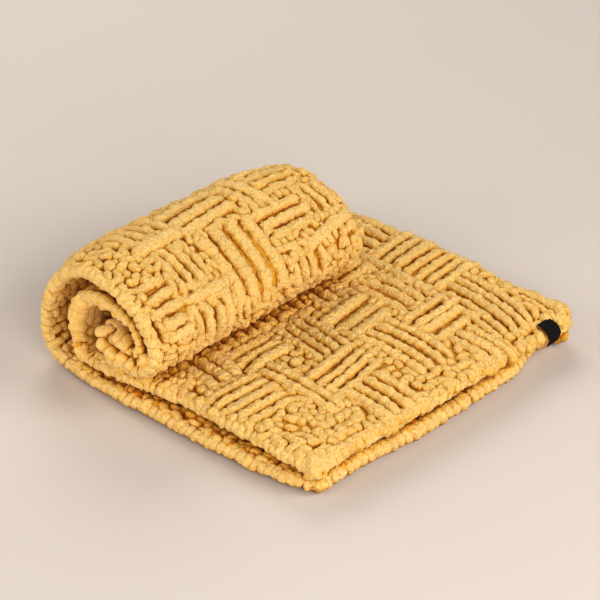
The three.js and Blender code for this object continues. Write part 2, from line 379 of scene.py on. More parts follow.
# The upper layer's loops are fuller towards its open corner, on the fold and where it goes into the roll.
CORNER_FULLNESS = {"share": 0.25, "reach": 34.0}
FOLD_FULLNESS = {"share": 0.05, "start": 368.0, "end": 386.0}
TUCK_FULLNESS = {"share": 0.2, "start": 590.0, "end": 640.0}
# Loops stand closer round the fold, whose outside is longer than its middle.
FOLD_CLOSER = 0.7
CORNER_ROUND = 16.0
# How far the cloth's faces fall towards its edges.
EDGE_FALL = {"drop": 2.0, "reach": 18.0}
# How the folds' squeeze is measured: half the stretch of cloth, the height of its faces as a share of half a
# layer, and the least share of its width that its middle is taken to keep.
SQUEEZE = {"reach": 4.0, "face": 0.6, "least": 0.3}
# Round lobes at the cloth's end where the folds press it too tightly for loops: below which share of its
# width, their spacing, their size as a share of the cloth's half thickness, their rows into the roll, their
# rings, the angle of their caps, how strongly their grain shows, and their root value, a painted shade.
LOBE = {
    "below": 0.55, "pitch": 9.0, "size": 1.0, "rows": 3, "spacing": 11.0, "rings": 9, "cap": 0.3,
    "grain": 0.4, "root": 0.2,
}

# Spacing and length of the stitches between the blocks, on the flat and on the roll.
FLAT_STITCH = {"across": 11.5, "along": 11.0, "length": 15.0, "start": 6.0, "rise": 0.0}
ROLL_STITCH = {"across": 10.5, "along": 9.5, "length": 14.0, "start": 5.0, "rise": 0.0}
# The lobes of the tucked selvedge that fill the roll's mouth.
LOBE_STITCH = {"across": 15.0, "along": 13.0, "length": 20.0, "start": 3.0, "rise": 6.0}
# How every stitch is drawn: half its width as a share of its spacing, the spreads of its width and length,
# the share of upright ones, the stagger of the rows, the spread of its lean, the middle and spread of its
# bow and of its sink, its dive as a share of a bar's, how far it may lie under a block, and how far before the
# bend the fold's stitches start.
STITCH_DRAW = {
    "width": 0.58, "width_spread": 0.1, "length_spread": 0.15, "upright": 0.2, "stagger": 0.25, "lean": 6.0,
    "bow": (0.5, 1.0), "sink": (0.3, 0.9), "dive": 0.35, "under": 6.0, "lead": 12.0,
}

# Places across the cloth where one of its faces gives way to the next.
FLAT_START = 3.0
FLAT_END = 262.0
FLOOR_END = 342.0
BEND_START = 346.0
BEND_END = 400.0
ROLL_START = 488.0
ROLL_END = 668.0
TUCK_END = 722.0
# The inside of the roll's first bend, where the cloth is squeezed and no stitch stands up.
MOUTH_BEND = {"a0": 350.0, "a1": 390.0, "y0": -60.0, "y1": 420.0}
# How far in from the roll's near end its inside is knitted stitch by stitch.
MOUTH_REACH = 90.0
# Hidden faces with an even basketweave: piece, layer, from and to across the cloth, and where they begin
# along it.
PLAIN_FACES = (
    ("floor_yarn", "lower", 12.0, FLOOR_END, -HALF_LENGTH),
    ("tuck_yarn", "lower", ROLL_END, TUCK_END, -HALF_LENGTH),
    ("loop_yarn", "upper", BEND_END, 640.0, MOUTH_REACH),
    ("crease_yarn", "upper", FLAT_END, BEND_START, MOUTH_REACH),
    ("bend_yarn", "upper", BEND_START, BEND_END, MOUTH_REACH),
)
PLAIN_SEED = 10
# Hidden faces of short stitches: piece, layer, side, what stays bare, from and to across the cloth, how far
# along it they reach, stitch, fineness and seed.
INNER_FACES = (
    ("shell_inside_yarn", "lower", -1.0, (), (320.0, 600.0), 70.0, FLAT_STITCH, COARSE, 20),
    ("loop_outside_yarn", "upper", -1.0, (), (320.0, 600.0), 70.0, FLAT_STITCH, COARSE, 21),
    ("mouth_yarn", "upper", 1.0, (MOUTH_BEND,), (FLAT_END, 646.0), 118.0, FLAT_STITCH, COARSE, 23),
    ("tongue_yarn", "upper", 1.0, (), (694.0, 746.0), 24.0, LOBE_STITCH, SOFT, 24),
    ("plug_yarn", "lower", -1.0, (), (650.0, 746.0), 24.0, LOBE_STITCH, SOFT, 25),
    ("between_yarn", "lower", -1.0, (), (10.0, 330.0), 36.0, FLAT_STITCH, COARSE, 22),
)
EDGE_SEED = 30
# Where the roll's first bend squeezes the fold's upper side, and the lobes that stand there.
TIGHT_FOLD = {"start": 344.0, "end": 398.0, "share": 0.42, "size": 6.2, "height": 5.0}
TIGHT_LOBES = (
    # share of the way over the fold, places across the cloth
    (0.45, (345.0, 358.0, 371.0, 384.0, 397.0)),
    (0.62, (351.0, 366.0, 381.0, 395.0)),
    (0.8, (346.0, 366.0, 386.0)),
    (0.97, (356.0, 380.0)),
)

# The ground under the yarns: how far in from the cloth's edges it starts, half its thickness there and
# further in, where that is reached, the step of its mesh, and the height and size of its lumps.
GROUND = {"margin": 7.0, "edge": 1.5, "half": 4.0, "reach": 40.0, "step": 8.5, "lump": 1.5, "lump_size": 9.0}
# What the ground is to the yarn's material: a full root value and a low tint, both painted shade that darkens
# the gaps between the yarns, and no grain.
GROUND_LOOK = {"root": 1.0, "tint": -3.0, "grain": 0.0}

# The label's whole length, how far in it bends over the selvedge, how far it stands out past it, and how
# high it lies above the layer's middle.
LABEL_BEND = 9.0
LABEL_OUT = 1.6
LABEL_TOP = 11.2
# Steps of the label's mesh over the cloth, round its bend, down its hanging part and across it.
LABEL_STEPS = {"over": 4, "turn": 9, "hang": 7, "width": 8}
# Stitches stay this far from the label.
LABEL_CLEAR = 8.0

# The soft lights: name, watts and place in metres.
LAMPS = (
    ("beside_camera", 11.0, (1.5, -1.6, 1.4)),
    ("right", 25.0, (2.0, -0.9, 1.1)),
    ("front", 17.0, (-0.5, -2.0, 0.95)),
    ("left", 14.0, (-2.0, -0.7, 1.1)),
    ("back_left", 27.0, (-1.6, 1.2, 1.6)),
    ("back_right", 38.0, (2.0, 0.8, 1.4)),
)
LAMP_SIZE = 1.5
LAMP_COLOUR = (1.0, 0.97, 0.93)
ROOM_COLOUR = (1.0, 0.97, 0.94, 1.0)
# Half the floor's width, in metres.
FLOOR_HALF = 8.0
# What the camera looks at, in millimetres from the cloth's own corner, and its sensor's width.
CAMERA_TARGET = (-222.5, 213.0, 40.0)
SENSOR_WIDTH = 36.0


def chart_blocks(chart):
    """The blocks of a chart by name of column."""
    columns = ("run", "a0", "a1", "y0", "y1", "bars", "lean", "bow")
    return [dict(zip(columns, row)) for row in chart]


def plain_blocks(layer, start, end, past=-HALF_LENGTH):
    """An even basketweave between two places across the cloth, past a place along it and up to the fold."""
    blocks = []
    columns = max(1, round((end - start) / BLOCK))
    for i in range(columns):
        a0 = start + (end - start) * i / columns
        a1 = start + (end - start) * (i + 1) / columns
        middle = np.array((a0 + a1) / 2)
        low = float(read_line(END_LINE, layer, middle)) + BLOCK_START
        high = float(bend_start(middle))
        rows = max(1, round((high - low) / BLOCK))
        for j in range(rows):
            y0 = low + (high - low) * j / rows
            y1 = low + (high - low) * (j + 1) / rows
            run = "along" if (i + j) % 2 else "round"
            block = {"run": run, "a0": a0, "a1": a1, "y0": y0, "y1": y1}
            if y0 > past:
                blocks.append({**block, "bars": BARS_IN_BLOCK, "lean": 0.0, "bow": 0.0})
    return blocks


def covered(blocks, across, along, margin):
    """Whether a place lies on one of the blocks, each made larger by a margin."""
    for block in blocks:
        beside = block["a0"] - margin < across < block["a1"] + margin
        if beside and block["y0"] - margin < along < block["y1"] + margin:
            return True
    return False


# Yarn. A yarn is a path on the flat cloth with a half width and a half height.
def bar_paths(blocks, yarn, draw):
    """Paths of the bars of the blocks: which way, where from and to, lean, bow, half width and sink."""
    paths = []
    for block in blocks:
        along = block["run"] == "along"
        low, high = (block["a0"], block["a1"]) if along else (block["y0"], block["y1"])
        start, end = (block["y0"], block["y1"]) if along else (block["a0"], block["a1"])
        pitch = (high - low) / block["bars"]
        full_width = min(yarn.bar_width, pitch * yarn.fullness)
        for k in range(block["bars"]):
            paths.append({
                "along": along,
                "middle": low + pitch * (k + 0.5) + draw.normal(0.0, yarn.unevenness),
                "first": start - yarn.tuck + draw.normal(0.0, 2.0 * yarn.unevenness),
                "last": end + yarn.tuck + draw.normal(0.0, 2.0 * yarn.unevenness),
                "lean": block["lean"] + draw.normal(0.0, yarn.unevenness),
                "bow": block["bow"] + draw.normal(0.0, yarn.unevenness),
                "width": 0.5 * full_width * (1.0 + draw.normal(0.0, BAR["spread"])),
                "sink": draw.normal(0.0, yarn.unevenness),
            })
    return paths


def stitch_paths(blocks, layer, start, end, reach, stitch, yarn, draw):
    """Paths of the short stitches where no block is, between two places across the cloth.

    reach is how far along the cloth they go from its end, "all" for all of it or "fold" for the fold alone.
    """
    paths = []
    columns = max(1, round((end - start) / stitch["across"]))
    for i in range(columns):
        across = start + (end - start) * (i + 0.5) / columns
        bend = float(bend_start(np.array(across)))
        low = float(read_line(END_LINE, layer, np.array(across))) + stitch["start"]
        high = bend + FOLD_LENGTH
        if reach == "fold":
            low = bend - STITCH_DRAW["lead"]
            if TIGHT_FOLD["start"] < across < TIGHT_FOLD["end"]:
                high = bend + TIGHT_FOLD["share"] * FOLD_LENGTH
        elif reach != "all":
            high = reach
        rows = max(1, round((high - low) / stitch["along"]))
        for j in range(rows):
            along = low + (high - low) * (j + 0.5 + STITCH_DRAW["stagger"] * (i % 2)) / rows
            if along > high or covered(blocks, across, along, -STITCH_DRAW["under"]):
                continue
            middle = along + draw.normal(0.0, 2.0 * yarn.unevenness)
            centre = across + draw.normal(0.0, 2.0 * yarn.unevenness)
            half = 0.5 * stitch["length"] * (1.0 + draw.normal(0.0, STITCH_DRAW["length_spread"]))
            spread = draw.normal(0.0, STITCH_DRAW["width_spread"])
            width = STITCH_DRAW["width"] * stitch["along"] * (1.0 + spread)
            upright = draw.random() < STITCH_DRAW["upright"]
            place, run = (centre, middle) if upright else (middle, centre)
            paths.append({
                "along": upright,
                "middle": place,
                "first": run - half,
                "last": run + half,
                "lean": draw.normal(0.0, STITCH_DRAW["lean"]),
                "bow": draw.normal(*STITCH_DRAW["bow"]),
                "width": width,
                "sink": abs(draw.normal(*STITCH_DRAW["sink"])) - stitch["rise"],
            })
    return paths


def grain(points, cell, seed):
    """Smooth noise from -1 to 1 at points, with lumps of about that cell size."""
    scaled = points / cell
    corner = np.floor(scaled).astype(np.int64)
    part = scaled - corner
    part = part * part * (3.0 - 2.0 * part)
    total = np.zeros(len(points))
    for step in np.ndindex(2, 2, 2):
        key = corner + np.array(step)
        mixed = np.bitwise_xor.reduce(key * CORNER_MIX, axis=1) ^ seed * SEED_MIX
        mixed = (mixed ^ (mixed >> 13)) * VALUE_MIX & 0x7FFFFFFF
        # Sixteen of the mixed bits, as a number from -1 to 1.
        value = ((mixed ^ (mixed >> 15)) & 0xFFFF) / 32767.5 - 1.0
        weight = np.prod(np.where(np.array(step) == 1, part, 1.0 - part), axis=1)
        total += weight * value
    return total


def tube_faces(rings, sides, flip):
    """Quads and cap triangles of a closed tube whose last two points are its tips."""
    ring = np.arange(sides)
    after = (ring + 1) % sides
    base = (np.arange(rings - 1) * sides)[:, None]
    above = base + sides
    quads = np.stack([base + ring, base + after, above + after, above + ring], -1).reshape(-1, 4)
    first, last = rings * sides, rings * sides + 1
    top = (rings - 1) * sides
    start = np.stack([np.full(sides, first), after, ring], -1)
    end = np.stack([np.full(sides, last), top + ring, top + after], -1)
    caps = np.concatenate([start, end])
    if flip:
        return quads[:, ::-1], caps[:, ::-1]
    return quads, caps


def sheet_faces(columns, rows):
    """Quads of a closed sheet: two skins of columns by rows of points, one after the other, and the rim."""
    index = np.arange(columns * rows).reshape(columns, rows)
    other = index + index.size
    skin = np.stack([index[:-1, :-1], index[:-1, 1:], index[1:, 1:], index[1:, :-1]], -1).reshape(-1, 4)
    far_skin = np.stack([other[:-1, :-1], other[1:, :-1], other[1:, 1:], other[:-1, 1:]], -1).reshape(-1, 4)
    rim = np.concatenate([index[0, :-1], index[:-1, -1], index[-1, :0:-1], index[:0:-1, 0]])
    after = np.roll(rim, -1)
    sides = np.stack([rim, rim + index.size, after + index.size, after], -1)[:, ::-1]
    return np.concatenate([skin, far_skin, sides])


def side_angles(sides):
    """Angles round a yarn, closer together over the part that shows."""
    shown = round(sides * SHOWN_SIDES)
    start, turn, end = -SHOWN_LAP * math.pi, (1.0 + SHOWN_LAP) * math.pi, (2.0 - SHOWN_LAP) * math.pi
    over = np.linspace(start, turn, shown, endpoint=False)
    under = np.linspace(turn, end, sides - shown, endpoint=False)
    return np.concatenate([over, under])


class Weave:
    """Gathers yarns of one layer and one side of the cloth into a single mesh."""

    def __init__(self, layer, side, yarn, fineness):
        self.layer = layer
        self.side = side
        self.yarn = yarn
        self.step = fineness["step"]
        self.grain = fineness["grain"]
        self.angles = side_angles(fineness["sides"])
        self.points, self.depths, self.tints, self.grains = [], [], [], []
        self.quads, self.caps = [], []
        self.count = 0

    def surface(self, across, along):
        """Height of the cloth's face from its middle: it falls towards the cloth's end and selvedges."""
        from_end = along - read_line(END_LINE, self.layer, across)
        from_edge = np.minimum(from_end, np.minimum(across, CLOTH_WIDTH - across))
        height = HALF_LAYER - EDGE_FALL["drop"] * (1.0 - smooth(0.0, EDGE_FALL["reach"], from_edge))
        if self.layer == "lower" and self.side > 0:
            return height + swell(across, along)
        if self.side > 0:
            bend = bend_start(across)
            return height + FOLD_SWELL["height"] * smooth(bend - FOLD_SWELL["reach"], bend, along)
        return height

    def add(self, centre, lateral, half_width, half_height, buried_shade, tint):
        """Adds one yarn: its path on the flat cloth, the direction to its side, its sizes and how deep it is
        buried, which is painted as shade.
        """
        tangent = np.gradient(centre, axis=0)
        tangent /= np.linalg.norm(tangent, axis=1)[:, None]
        upward = np.cross(lateral, tangent)
        cos, sin = np.cos(self.angles)[None, :, None], np.sin(self.angles)[None, :, None]
        offset = lateral[:, None, :] * cos * half_width[:, None, None]
        offset = offset + upward[:, None, :] * sin * half_height[:, None, None]
        flat = centre[:, None, :] + offset
        rings, sides = flat.shape[:2]
        reach = tangent[[0, -1]] * (half_height[[0, -1]] * TIP_REACH)[:, None] * np.array([[-1.0], [1.0]])
        flat = np.concatenate([flat.reshape(-1, 3), centre[[0, -1]] + reach])
        hearts = np.concatenate([np.repeat(centre, sides, axis=0), centre[[0, -1]]])
        placed = fold(self.layer, flat[:, 0], flat[:, 1], self.side * flat[:, 2])
        heart = fold(self.layer, hearts[:, 0], hearts[:, 1], self.side * hearts[:, 2])
        out = placed - heart
        out /= np.maximum(np.linalg.norm(out, axis=1), 1e-6)[:, None]
        # Painted shade: each yarn's underside and its buried length are stored as its root value, which
        # darkens its colour.
        lee_shade = np.broadcast_to(0.5 - 0.5 * np.sin(self.angles), (rings, sides)).ravel()
        depth = np.concatenate([lee_shade, [0.5, 0.5]]) + np.append(np.repeat(buried_shade, sides), buried_shade[[0, -1]])
        self.grains.append(np.full(len(placed), self.grain))
        self.keep(placed, out, rings, (self.layer == "upper") != (self.side > 0), depth, tint)

    def add_lobe(self, across, along, size, tint, height=0.0):
        """Adds a round lobe of yarn about a place on the cloth, at a height from the layer's middle."""
        heart = fold(self.layer, *np.array([[across], [along], [height]]))[0]
        polar = np.linspace(LOBE["cap"], math.pi - LOBE["cap"], LOBE["rings"])[:, None]
        turn = np.linspace(0.0, 2.0 * math.pi, len(self.angles), endpoint=False)[None, :]
        ring = np.sin(polar)
        out = np.stack([ring * np.cos(turn), -np.cos(polar) + 0.0 * turn, ring * np.sin(turn)], axis=-1)
        out = np.concatenate([out.reshape(-1, 3), [[0.0, -1.0, 0.0], [0.0, 1.0, 0.0]]])
        self.grains.append(np.full(len(out), LOBE["grain"]))
        # Painted shade: every lobe carries the same small root value, which darkens its colour.
        self.keep(heart + size * out, out, LOBE["rings"], True, np.full(len(out), LOBE["root"]), tint)

    def keep(self, placed, out, rings, flip, depth, tint):
        """Roughens one yarn's points with pile, out from its heart, and keeps them with its faces."""
        yarn = self.yarn
        fine_height, fine_size = FINE_TUFTS["height"] * yarn.pile_height, FINE_TUFTS["size"] * yarn.pile_size
        heights = (yarn.pile_height, fine_height, yarn.lump_height)
        sizes = (yarn.pile_size, fine_size, yarn.lump_size)
        pile = sum(high * grain(placed, size, seed) for high, size, seed in zip(heights, sizes, YARN_SEEDS))
        placed = placed + out * pile[:, None]
        placed[:, 2] = np.maximum(placed[:, 2], YARN_CLEAR)
        quads, caps = tube_faces(rings, len(self.angles), flip)
        self.points.append(placed + SEAT)
        self.depths.append(np.clip(depth, 0.0, 1.0))
        self.tints.append(np.full(len(placed), tint))
        self.quads.append(quads + self.count)
        self.caps.append(caps + self.count)
        self.count += len(placed)

    def add_bar(self, path, thickness, dive, tint):
        """Adds a straight or bowed yarn whose ends dive under their neighbours."""
        length = abs(path["last"] - path["first"])
        cap = min(BAR["cap"] * path["width"], BAR["cap_share"] * length)
        turn = np.linspace(BAR["cap_angle"], 0.5 * math.pi, BAR["cap_rings"])
        rounding = cap * (1.0 - np.cos(turn))
        inner = max(2, int(math.ceil((length - 2.0 * cap) / self.step)))
        straight = np.linspace(cap, length - cap, inner + 1)[1:-1]
        run = np.concatenate([rounding, straight, length - rounding[::-1]])
        ends = np.sin(turn)
        taper = np.concatenate([ends, np.ones(inner - 1), ends[::-1]])
        share = run / length
        bow = path["bow"] * (4.0 * share * (1.0 - share) - BAR["bow_back"])
        sideways = path["middle"] + path["lean"] * (share - 0.5) + bow
        forward = path["first"] + share * (path["last"] - path["first"])
        across, along = (sideways, forward) if path["along"] else (forward, sideways)
        half_height = 0.5 * thickness
        from_end = np.minimum(run, length - run)
        sunk = dive * (1.0 - smooth(0.0, BAR["dive_reach"] * path["width"], from_end)) + path["sink"]
        height = self.surface(across, along) - half_height - sunk
        centre = np.stack([across, along, height], axis=-1)
        tangent = np.gradient(centre, axis=0)
        lateral = np.stack([tangent[:, 1], -tangent[:, 0], 0.0 * share], axis=-1)
        lateral /= np.linalg.norm(lateral, axis=1)[:, None]
        plump = taper * (1.0 + sum(part * np.sin(run / wave + shift * tint) for part, wave, shift in PLUMP))
        # Painted shade: the deeper a bar sinks and dives, the darker its colour.
        self.add(centre, lateral, path["width"] * plump, half_height * plump, BAR["shade_deepen"] * sunk, tint)

    def finish(self, name):
        """Makes the piece, dressed in yarn."""
        points = np.concatenate(self.points) * MM
        piece = mesh_piece(name, points, np.concatenate(self.quads), np.concatenate(self.caps))
        # root carries the painted shade; tint is each yarn's random tone, and grain the strength of its bumps.
        values = {"root": self.depths, "tint": self.tints, "grain": self.grains}
        mark(piece, {label: np.concatenate(parts) for label, parts in values.items()})
        dress(piece, yarn_material())


def mesh_piece(name, points, quads, triangles=np.zeros((0, 3), int)):
    """A smooth shaded mesh object from arrays of points, quads and triangles."""
    mesh = bpy.data.meshes.new(name)
    corners = np.concatenate([quads.ravel(), triangles.ravel()]).astype(np.int32)
    sizes = np.concatenate([np.full(len(quads), 4), np.full(len(triangles), 3)]).astype(np.int32)
    mesh.vertices.add(len(points))
    mesh.vertices.foreach_set("co", points.astype(np.float32).ravel())
    mesh.loops.add(len(corners))
    mesh.loops.foreach_set("vertex_index", corners)
    mesh.polygons.add(len(sizes))
    mesh.polygons.foreach_set("loop_start", (np.cumsum(sizes) - sizes).astype(np.int32))
    mesh.polygons.foreach_set("use_smooth", np.ones(len(sizes), dtype=bool))
    mesh.update(calc_edges=True)
    mesh.validate()
    piece = bpy.data.objects.new(name, mesh)
    bpy.context.scene.collection.objects.link(piece)
    return piece


def mark(piece, values):
    """Stores named values on a piece's points, for its material."""
    for label, value in values.items():
        attribute = piece.data.attributes.new(label, "FLOAT", "POINT")
        attribute.data.foreach_set("value", value.astype(np.float32))


def dress(piece, material):
    """Gives a piece its material and its place on the part."""
    piece.data.materials.append(material)
    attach(piece, BODY)


def new_weave(layer, side, fineness, seed):
    """An empty weave, and the seeded numbers that it draws from."""
    yarn = bpy.context.scene.blanket_yarn
    return Weave(layer, side, yarn, fineness), np.random.default_rng(yarn.seed + seed)


def knit_bars(name, layer, side, blocks, fineness, seed):
    """One piece of yarn: the bars of the blocks, on one side of a layer."""
    weave, draw = new_weave(layer, side, fineness, seed)
    for path in bar_paths(blocks, weave.yarn, draw):
        weave.add_bar(path, weave.yarn.bar_thickness, weave.yarn.dive, draw.random())
    weave.finish(name)


def knit_stitches(name, layer, side, blocks, span, reach, stitch, fineness, seed):
    """One piece of yarn: the stitches between the blocks, on one side of a layer."""
    weave, draw = new_weave(layer, side, fineness, seed)
    dive = STITCH_DRAW["dive"] * weave.yarn.dive
    for path in stitch_paths(blocks, layer, *span, reach, stitch, weave.yarn, draw):
        weave.add_bar(path, weave.yarn.stitch_thickness, dive, draw.random())
    weave.finish(name)


def knit_lobes(name, layer, rows, fineness, seed):
    """One piece of yarn: round lobes in rows over the fold."""
    weave, draw = new_weave(layer, 1.0, fineness, seed)
    for share, places in rows:
        for across in places:
            along = float(bend_start(np.array(across))) + share * FOLD_LENGTH
            weave.add_lobe(across, along, TIGHT_FOLD["size"], draw.random(), TIGHT_FOLD["height"])
    weave.finish(name)


# Materials
def new_material(name, slot, finish):
    """A node material with the record's slot that it stands for, and its shader with the finish's values."""
    material = bpy.data.materials.new(name)
    material.use_nodes = True
    material["slot"] = slot
    shader = material.node_tree.nodes["Principled BSDF"]
    feed(material, shader, finish)
    return material, shader


def feed(material, node, inputs):
    """Gives a node's inputs their values, or links them to the outputs that feed them."""
    for name, value in inputs.items():
        if isinstance(value, bpy.types.NodeSocket):
            material.node_tree.links.new(value, node.inputs[name])
        else:
            node.inputs[name].default_value = value


def add_node(material, kind, inputs=None, **settings):
    """Adds a node with its settings, and feeds its inputs."""
    node = material.node_tree.nodes.new(kind)
    for name, value in settings.items():
        setattr(node, name, value)
    feed(material, node, inputs or {})
    return node


def object_place(material):
    """The output that says where a point lies on its object."""
    return add_node(material, "ShaderNodeTexCoord").outputs["Object"]


def point_value(material, label):
    """The output that reads a named value from a piece's points."""
    return add_node(material, "ShaderNodeAttribute", attribute_name=label).outputs["Fac"]


def multiply_add(material, value, factor, added):
    """The output of a node that multiplies a value by a factor and adds another."""
    inputs = {0: value, 1: factor, 2: added}
    return add_node(material, "ShaderNodeMath", inputs, operation="MULTIPLY_ADD").outputs["Value"]


def remap(material, value, start, end, most, clamp=True):
    """The output of a node that carries values from start to end over to 0 to the most."""
    inputs = {"Value": value, "From Min": start, "From Max": end, "To Max": most}
    return add_node(material, "ShaderNodeMapRange", inputs, clamp=clamp).outputs["Result"]


def mottled(material, factor, colour, share):
    """The output of a node that mixes a colour with a share of itself."""
    inputs = {"Factor": factor, "A": (*colour, 1.0), "B": (*[share * c for c in colour], 1.0)}
    return add_node(material, "ShaderNodeMix", inputs, data_type="RGBA").outputs["Result"]


def yarn_material():
    """Plush chenille with a fine granular pile; its colour is darkened by painted shade down the yarns'
    undersides, at diving ends, in the pile's specks and in crevices found by ambient occlusion.
    """
    found = bpy.data.materials.get("plush_yarn")
    if found:
        return found
    look = bpy.context.scene.blanket_yarn
    finish = {
        "Roughness": 0.95,
        "Specular IOR Level": 0.15,
        "Sheen Weight": 0.18,
        "Sheen Roughness": 0.5,
        "Sheen Tint": (1.0, 0.85, 0.55, 1.0),
    }
    material, shader = new_material("plush_yarn", "yarn", finish)
    place = object_place(material)
    fuzz = {"Vector": place, "Scale": 300.0, "Detail": 3.0, "Roughness": 0.65}
    wander = add_node(material, "ShaderNodeTexNoise", fuzz)
    cells = {"Vector": place, "Scale": 330.0, "Smoothness": 0.4}
    tufts = add_node(material, "ShaderNodeTexVoronoi", cells, feature="SMOOTH_F1")
    speck = multiply_add(material, tufts.outputs["Distance"], -0.3, wander.outputs["Fac"])
    # Painted shade in the pile: where the noise is low, darker specks stand for the pile's small hollows in
    # shade.
    hollow = remap(material, speck, 0.55, 0.15, 0.35)
    # Painted shade from the root value: yarn undersides, diving ends, lobes and the ground.
    deep = remap(material, point_value(material, "root"), 0.1, 0.95, 0.5, clamp=False)
    # Painted shade in crevices: ambient occlusion darkens the colour towards the gap colour.
    near = add_node(material, "ShaderNodeAmbientOcclusion", {"Distance": 0.02}, samples=8)
    ao_shade = remap(material, near.outputs["AO"], 0.74, 0.2, 0.9)
    # Painted shade: the pile's specks and the root value together, before the crevice shade is added.
    pile_root_shade = multiply_add(material, hollow, 0.7, deep)
    both = add_node(material, "ShaderNodeMath", {0: pile_root_shade, 1: ao_shade}, use_clamp=True)
    # Painted shade: the ramp runs from the tips' own colour through a root shade colour to a dark gap shade
    # colour.
    shade_deepen = add_node(material, "ShaderNodeValToRGB", {"Fac": both.outputs["Value"]})
    stops = shade_deepen.color_ramp.elements
    stops[0].color = (*look.tip_colour, 1.0)
    stops[1].color = (*look.gap_shade_colour, 1.0)
    stops.new(0.6).color = (*look.root_shade_colour, 1.0)
    # Random tone from yarn to yarn; the ground's low tint darkens it as painted shade.
    tinted = multiply_add(material, point_value(material, "tint"), 0.08, 0.99)
    # Painted shade: the pile's specks also lower the colour's value.
    shade = multiply_add(material, hollow, -0.3, tinted)
    shaded = {"Color": shade_deepen.outputs["Color"], "Value": shade}
    vary = add_node(material, "ShaderNodeHueSaturation", shaded)
    relief = {"Distance": 0.0047, "Strength": point_value(material, "grain"), "Height": speck}
    pile = add_node(material, "ShaderNodeBump", relief)
    feed(material, shader, {"Base Color": vary.outputs["Color"], "Normal": pile.outputs["Normal"]})
    return material


def tape_material():
    """Black woven tape: fine ribs across it."""
    look = bpy.context.scene.blanket_label
    material, shader = new_material("woven_tape", "tape", {"Roughness": 0.85, "Specular IOR Level": 0.08})
    rows = {"Vector": object_place(material), "Scale": 900.0}
    ribs = add_node(material, "ShaderNodeTexWave", rows, bands_direction="Y").outputs["Fac"]
    relief = add_node(material, "ShaderNodeBump", {"Strength": 0.4, "Distance": 0.0002, "Height": ribs})
    colour = mottled(material, ribs, look.colour, 3.0)
    feed(material, shader, {"Base Color": colour, "Normal": relief.outputs["Normal"]})
    return material


def floor_material():
    """Plain pale paper, with the least mottling."""
    look = bpy.context.scene.blanket_stage
    material, shader = new_material("pale_floor", "", {"Roughness": 0.9, "Specular IOR Level": 0.1})
    mottle = add_node(material, "ShaderNodeTexNoise", {"Vector": object_place(material), "Scale": 1.5})
    feed(material, shader, {"Base Color": mottled(material, mottle.outputs["Fac"], look.floor_colour, 0.97)})
    return material


# Sizes and colours that a user would change
def colour_setting(name, description, default):
    """A property that holds a colour."""
    return FloatVectorProperty(
        name=name, description=description, subtype="COLOR", default=default, min=0.0, max=1.0
    )


class YarnLook(bpy.types.PropertyGroup):
    """Plush yarn"""

    bar_width: FloatProperty(
        name="Bar width", description="Most that a bar is wide, mm", default=18.0, min=4.0
    )
    bar_thickness: FloatProperty(
        name="Bar thickness", description="Height of a bar, mm", default=16.0, min=4.0
    )
    stitch_thickness: FloatProperty(
        name="Stitch thickness", description="Height of a stitch, mm", default=13.5
    )
    fullness: FloatProperty(
        name="Fullness", description="Share of its spacing that a bar fills", default=0.9
    )
    tuck: FloatProperty(
        name="Tuck", description="How far a bar's end reaches past its block, mm", default=4.0
    )
    dive: FloatProperty(
        name="Dive", description="How far a bar's end dives under its neighbours, mm", default=6.0
    )
    unevenness: FloatProperty(
        name="Unevenness", description="Spread of places from bar to bar, mm", default=0.8
    )
    pile_height: FloatProperty(name="Pile height", description="Height of the pile's tufts, mm", default=1.3)
    pile_size: FloatProperty(name="Pile size", description="Size of the pile's tufts, mm", default=3.3)
    lump_height: FloatProperty(name="Lump height", description="Height of the yarn's lumps, mm", default=1.1)
    lump_size: FloatProperty(name="Lump size", description="Size of the yarn's lumps, mm", default=10.0)
    seed: IntProperty(name="Seed", description="Seed of the unevenness", default=11)
    tip_colour: colour_setting("Tips", "Colour of the pile's tips", (0.97, 0.655, 0.25))
    # Painted shade: the roots' and the gaps' colours are shaded colours that the material's ramp darkens the
    # tips towards.
    root_shade_colour: colour_setting("Roots", "Colour down the sides of a bar", (0.86, 0.46, 0.05))
    gap_shade_colour: colour_setting("Gaps", "Colour deep in the gaps", (0.48, 0.135, 0.004))


class LabelLook(bpy.types.PropertyGroup):
    """Woven label"""

    above: FloatProperty(
        name="Above", description="How far the label reaches in over the cloth, mm", default=15.0
    )
    hang: FloatProperty(
        name="Hang", description="How far the label hangs below the layer's middle, mm", default=13.0
    )
    width: FloatProperty(name="Width", description="Width of the tape, mm", default=18.0)
    thickness: FloatProperty(name="Thickness", description="Thickness of the tape, mm", default=0.9)
    colour: colour_setting("Tape", "Colour of the tape", (0.006, 0.0055, 0.006))


class StageLook(bpy.types.PropertyGroup):
    """Floor, light and camera"""

    floor_colour: colour_setting("Floor", "Colour of the floor", (0.642, 0.58, 0.533))
    azimuth: FloatProperty(
        name="Azimuth", description="Camera's angle round the blanket, degrees", default=44.0
    )
    elevation: FloatProperty(
        name="Elevation", description="Camera's angle above the floor, degrees", default=32.4
    )
    distance: FloatProperty(name="Distance", description="Camera's distance", default=2.7, unit="LENGTH")
    lens: FloatProperty(name="Lens", description="Focal length, mm on a 36 mm sensor", default=152.4)
    light: FloatProperty(name="Light", description="Share of the lamps' power", default=0.98)
    ambient: FloatProperty(
        name="Ambient", description="Strength of the light from everywhere", default=0.02
    )


